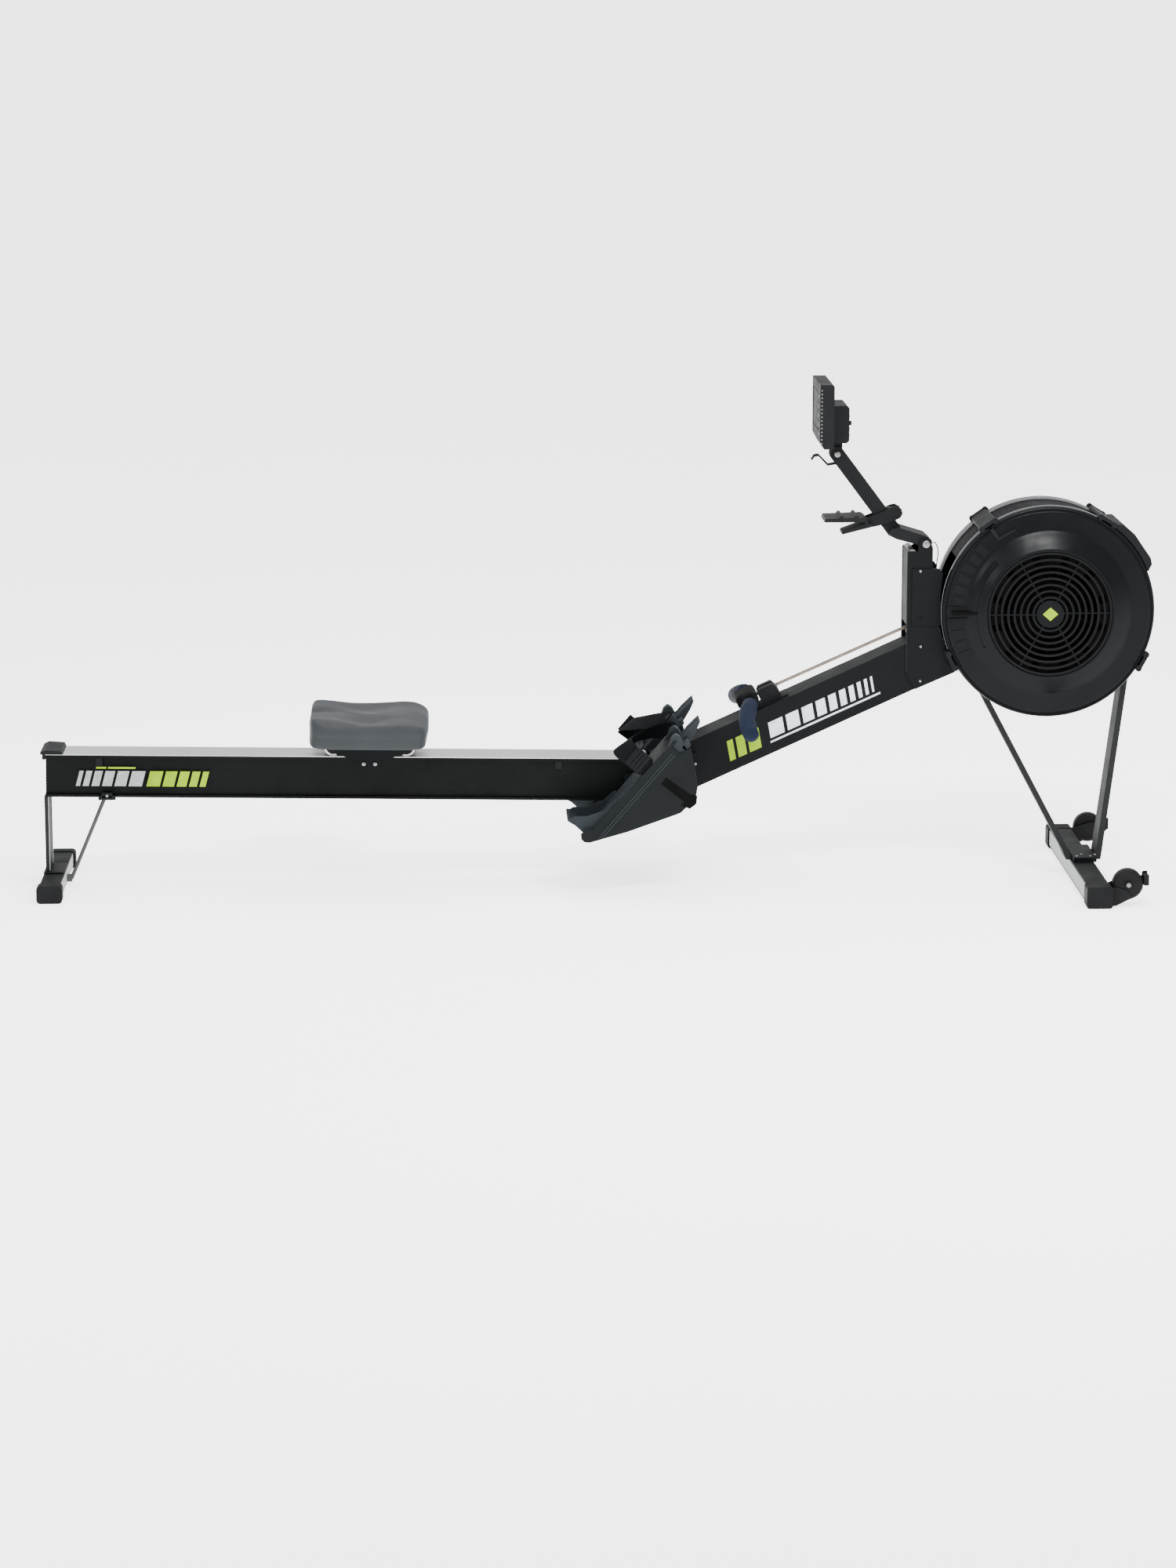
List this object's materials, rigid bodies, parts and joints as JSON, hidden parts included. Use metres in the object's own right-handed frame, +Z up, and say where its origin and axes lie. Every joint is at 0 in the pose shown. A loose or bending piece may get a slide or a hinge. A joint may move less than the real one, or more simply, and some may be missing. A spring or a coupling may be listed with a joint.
{
  "type": "rowing machine",
  "caption": "Indoor rower: sliding seat on a monorail, footrests with straps, fan flywheel housing on legs, pull handle on a chain, monitor on a folding arm.",
  "frame": {"origin": "on the floor, under the middle of the whole machine", "axes": "+X along the machine from the seat end to the flywheel, +Z up, -Y towards the right hand of the person rowing"},
  "size_m": [2.44, 0.61, 1.113],
  "materials": {
    "rail_black": "satin anodised black",
    "track_steel": "bright, rolled along its length",
    "black_plastic": "fine moulded texture",
    "housing_black": "satin moulded",
    "foot_gray": "moulded, lightly textured",
    "heel_gray": "moulded",
    "seat_gray": "soft moulded foam skin",
    "black_rubber": "matt",
    "gray_steel": "satin gray powder coat",
    "black_steel": "semi-gloss black powder coat",
    "bright_steel": "zinc plated",
    "roller_white": "turned, worn tread",
    "webbing": "woven webbing",
    "chain_steel": "oiled",
    "cord_black": "braided elastic cord",
    "grip_navy": "soft moulded foam",
    "fan_alloy": "cast",
    "screen_gray": "window over a liquid crystal display",
    "key_gray": "soft keypad",
    "caster_gray": "hard tread"
  },
  "bodies": {
    "front_frame": {"main_beam": "black_steel", "rail_socket": "black_steel", "upright_bracket": "black_steel", "frame_bolts": "bright_steel", "handle_holder": "black_plastic", "footboard_left": "foot_gray", "footboard_right": "foot_gray", "strap_left": "webbing", "strap_right": "webbing", "strap_buckles": "black_plastic", "cover_right": "housing_black", "cover_left": "housing_black", "housing_screen": "black_steel", "housing_clips": "black_plastic", "intake_grille": "housing_black", "flywheel_axle": "bright_steel", "flywheel_bearings": "bright_steel", "front_leg_rear": "gray_steel", "front_leg_front": "gray_steel", "front_foot": "gray_steel", "front_foot_caps": "black_rubber", "shock_cord": "cord_black", "sensor_cable": "black_rubber", "chain": "chain_steel"},
    "flywheel": {"flywheel": "fan_alloy"},
    "sprocket": {"sprocket": "chain_steel"},
    "chain_idler": {"chain_idler": "roller_white"},
    "return_pulley": {"return_pulley": "roller_white"},
    "damper": {"damper_lever": "black_plastic"},
    "flexfoot_left": {"flexfoot_left": "heel_gray"},
    "flexfoot_right": {"flexfoot_right": "heel_gray"},
    "caster_left": {"caster_wheel_left": "caster_gray"},
    "caster_right": {"caster_wheel_right": "caster_gray"},
    "frame_lock": {"frame_lock": "bright_steel"},
    "handle": {"handle_bar": "black_steel", "handle_grips": "grip_navy", "chain_shackle": "bright_steel"},
    "monorail": {"monorail": "rail_black", "rail_track": "track_steel", "rail_end_cap": "black_plastic", "rail_stops": "black_rubber", "rear_leg": "gray_steel", "rear_brace": "bright_steel", "rear_foot": "gray_steel", "rear_foot_caps": "black_rubber"},
    "seat": {"seat_pad": "seat_gray", "seat_carriage": "black_steel"},
    "rollers_front": {"seat_rollers_front": "roller_white"},
    "rollers_rear": {"seat_rollers_rear": "roller_white"},
    "guides_front": {"guide_rollers_front": "roller_white"},
    "guides_rear": {"guide_rollers_rear": "roller_white"},
    "monitor_arm": {"monitor_arm": "black_plastic"},
    "device_holder": {"device_holder": "black_plastic"},
    "monitor": {"monitor_case": "black_plastic", "monitor_screen": "screen_gray"},
    "key_1": {"monitor_key_1": "key_gray"},
    "key_2": {"monitor_key_2": "key_gray"},
    "key_3": {"monitor_key_3": "key_gray"},
    "key_4": {"monitor_key_4": "key_gray"},
    "key_5": {"monitor_key_5": "key_gray"}
  },
  "joints": [
    {"name": "rail_release", "type": "slide", "parent": "front_frame", "child": "monorail", "axis": [-0.9999, 0, 0.0151], "range_m": [0, 0.15]},
    {"name": "seat_slide", "type": "slide", "parent": "monorail", "child": "seat", "axis": [0.9999, 0, -0.0151], "range_m": [-0.56, 0.38]},
    {"name": "roller_front_spin", "type": "hinge", "parent": "seat", "child": "rollers_front", "pos_m": [-0.41765, 0, 0.31207], "axis": [0, 1, 0], "continuous": true},
    {"name": "roller_rear_spin", "type": "hinge", "parent": "seat", "child": "rollers_rear", "pos_m": [-0.57763, 0, 0.31449], "axis": [0, 1, 0], "continuous": true},
    {"name": "guide_front_spin", "type": "hinge", "parent": "seat", "child": "guides_front", "pos_m": [-0.48567, 0, 0.2778], "axis": [0, 1, 0], "continuous": true},
    {"name": "guide_rear_spin", "type": "hinge", "parent": "seat", "child": "guides_rear", "pos_m": [-0.51067, 0, 0.27818], "axis": [0, 1, 0], "continuous": true},
    {"name": "handle_pull", "type": "slide", "parent": "front_frame", "child": "handle", "axis": [-0.9336, 0, 0.3584], "range_m": [0, 1.05], "stiffness_N_per_m": 15, "springref_m": -1, "deforming": ["chain", "shock_cord"]},
    {"name": "sprocket_spin", "type": "hinge", "parent": "front_frame", "child": "sprocket", "pos_m": [0.987, 0, 0.611], "axis": [0, 1, 0], "continuous": true},
    {"name": "idler_spin", "type": "hinge", "parent": "front_frame", "child": "chain_idler", "pos_m": [0.6952, 0, 0.558], "axis": [0, 1, 0], "continuous": true},
    {"name": "return_pulley_spin", "type": "hinge", "parent": "front_frame", "child": "return_pulley", "pos_m": [0.2013, 0, 0.26485], "axis": [0, 1, 0], "continuous": true},
    {"name": "flywheel_spin", "type": "hinge", "parent": "front_frame", "child": "flywheel", "pos_m": [0.987, 0, 0.611], "axis": [0, 1, 0], "continuous": true},
    {"name": "damper_turn", "type": "hinge", "parent": "front_frame", "child": "damper", "pos_m": [0.987, 0, 0.611], "axis": [0, -1, 0], "range_deg": [-42, 26]},
    {"name": "flexfoot_left_slide", "type": "slide", "parent": "front_frame", "child": "flexfoot_left", "axis": [0.6508, 0, 0.7593], "range_m": [-0.03, 0.03]},
    {"name": "flexfoot_right_slide", "type": "slide", "parent": "front_frame", "child": "flexfoot_right", "axis": [0.6508, 0, 0.7593], "range_m": [-0.03, 0.03]},
    {"name": "caster_left_spin", "type": "hinge", "parent": "front_frame", "child": "caster_left", "pos_m": [1.141, 0.2735, 0.0485], "axis": [0, 1, 0], "continuous": true},
    {"name": "caster_right_spin", "type": "hinge", "parent": "front_frame", "child": "caster_right", "pos_m": [1.141, -0.2735, 0.0485], "axis": [0, 1, 0], "continuous": true},
    {"name": "frame_lock_turn", "type": "hinge", "parent": "front_frame", "child": "frame_lock", "pos_m": [0.095, 0, 0.171], "axis": [0, 1, 0], "range_deg": [0, 90]},
    {"name": "arm_tilt", "type": "hinge", "parent": "front_frame", "child": "monitor_arm", "pos_m": [0.72, 0, 0.758], "axis": [0, 1, 0], "range_deg": [-20, 40]},
    {"name": "monitor_tilt", "type": "hinge", "parent": "monitor_arm", "child": "monitor", "pos_m": [0.5265, 0, 0.9526], "axis": [0, 1, 0], "range_deg": [-22, 40]},
    {"name": "holder_fold", "type": "hinge", "parent": "monitor_arm", "child": "device_holder", "pos_m": [0.657, 0, 0.823], "axis": [0, 1, 0], "range_deg": [-20, 5]},
    {"name": "key_press_1", "type": "slide", "parent": "monitor", "child": "key_1", "axis": [1, 0, 0], "range_m": [0, 0.0012], "stiffness_N_per_m": 300, "springref_m": -0.001},
    {"name": "key_press_2", "type": "slide", "parent": "monitor", "child": "key_2", "axis": [1, 0, 0], "range_m": [0, 0.0012], "stiffness_N_per_m": 300, "springref_m": -0.001},
    {"name": "key_press_3", "type": "slide", "parent": "monitor", "child": "key_3", "axis": [1, 0, 0], "range_m": [0, 0.0012], "stiffness_N_per_m": 300, "springref_m": -0.001},
    {"name": "key_press_4", "type": "slide", "parent": "monitor", "child": "key_4", "axis": [1, 0, 0], "range_m": [0, 0.0012], "stiffness_N_per_m": 300, "springref_m": -0.001},
    {"name": "key_press_5", "type": "slide", "parent": "monitor", "child": "key_5", "axis": [1, 0, 0], "range_m": [0, 0.0012], "stiffness_N_per_m": 300, "springref_m": -0.001}
  ],
  "couplings": [
    {"joint": "roller_front_spin", "follows": "seat_slide", "rad_per_m": 50},
    {"joint": "roller_rear_spin", "follows": "seat_slide", "rad_per_m": 50},
    {"joint": "guide_front_spin", "follows": "seat_slide", "rad_per_m": -125},
    {"joint": "guide_rear_spin", "follows": "seat_slide", "rad_per_m": -125},
    {"joint": "sprocket_spin", "follows": "handle_pull", "rad_per_m": -70.1},
    {"joint": "idler_spin", "follows": "handle_pull", "rad_per_m": -76.9},
    {"joint": "return_pulley_spin", "follows": "handle_pull", "rad_per_m": 33.3}
  ]
}
